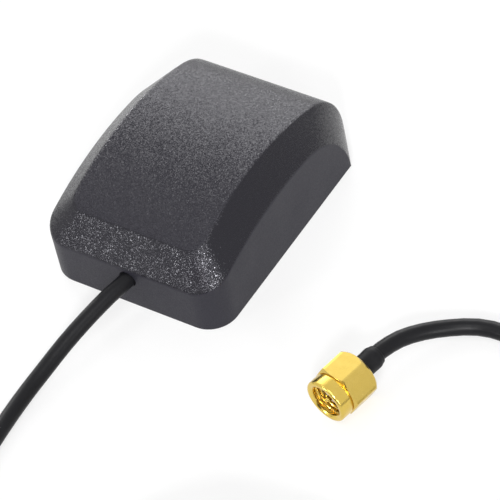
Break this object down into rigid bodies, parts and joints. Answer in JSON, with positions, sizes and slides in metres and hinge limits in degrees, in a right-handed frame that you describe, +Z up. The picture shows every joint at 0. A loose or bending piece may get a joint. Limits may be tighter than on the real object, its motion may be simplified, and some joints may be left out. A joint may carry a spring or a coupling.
{
  "type": "gps antenna",
  "caption": "Magnetic GPS antenna puck: arched plastic housing, thin coaxial cable stored in a tied coil, and a gold screw-on coaxial plug.",
  "frame": {"origin": "middle of the housing's base, on the surface that it stands on", "axes": "+Z up through the roof, -Y along the cable as it leaves the front wall, X across the housing"},
  "size_m": [0.0962, 0.1299, 0.0173],
  "materials": {
    "housing_plastic": "spark-textured",
    "cover_plastic": "satin",
    "zinc_steel": "zinc plated",
    "nickel_magnet": "bright nickel",
    "board_laminate": "solder mask",
    "patch_dielectric": "fired ceramic",
    "fired_silver": "matt silver",
    "foam_tape": "matt",
    "tin_plate": "tinned",
    "chip_resin": "matt",
    "filter_ceramic": "satin",
    "solder": "bright",
    "copper_braid": "tinned copper",
    "core_plastic": "satin",
    "jacket_vinyl": "satin",
    "tie_nylon": "satin",
    "gold_plate": "gold plated, polished",
    "gasket_silicone": "matt",
    "insulator_ptfe": "waxy",
    "sleeve_polyolefin": "satin"
  },
  "bodies": {
    "antenna": {"radome": "housing_plastic", "base_cover": "cover_plastic", "base_screws": "zinc_steel", "magnet_front": "nickel_magnet", "magnet_rear": "nickel_magnet", "amplifier_board": "board_laminate", "patch_ceramic": "patch_dielectric", "patch_silver": "fired_silver", "patch_tape": "foam_tape", "feed_pin": "tin_plate", "shield_can": "tin_plate", "first_amplifier": "chip_resin", "second_amplifier": "chip_resin", "band_filter": "filter_ceramic", "board_passives": "filter_ceramic", "cable_stop_ring": "tin_plate", "cable_braid": "copper_braid", "cable_core": "core_plastic", "cable_wire": "copper_braid", "solder_joints": "solder", "cable_lead": "jacket_vinyl", "cable_coil": "jacket_vinyl", "coil_tie": "tie_nylon", "cable_tail": "jacket_vinyl", "plug_body": "gold_plate", "retaining_ring": "gold_plate", "plug_gasket": "gasket_silicone", "plug_insulator": "insulator_ptfe", "centre_contact": "gold_plate", "plug_braid": "copper_braid", "plug_core": "core_plastic", "crimp_ferrule": "gold_plate", "heat_shrink_sleeve": "sleeve_polyolefin"},
    "nut": {"coupling_nut": "gold_plate"}
  },
  "joints": [
    {"name": "nut_turn", "type": "hinge", "parent": "antenna", "child": "nut", "pos_m": [0.0412, -0.03, 0.004], "axis": [0.2079, 0.9781, 0], "continuous": true}
  ]
}
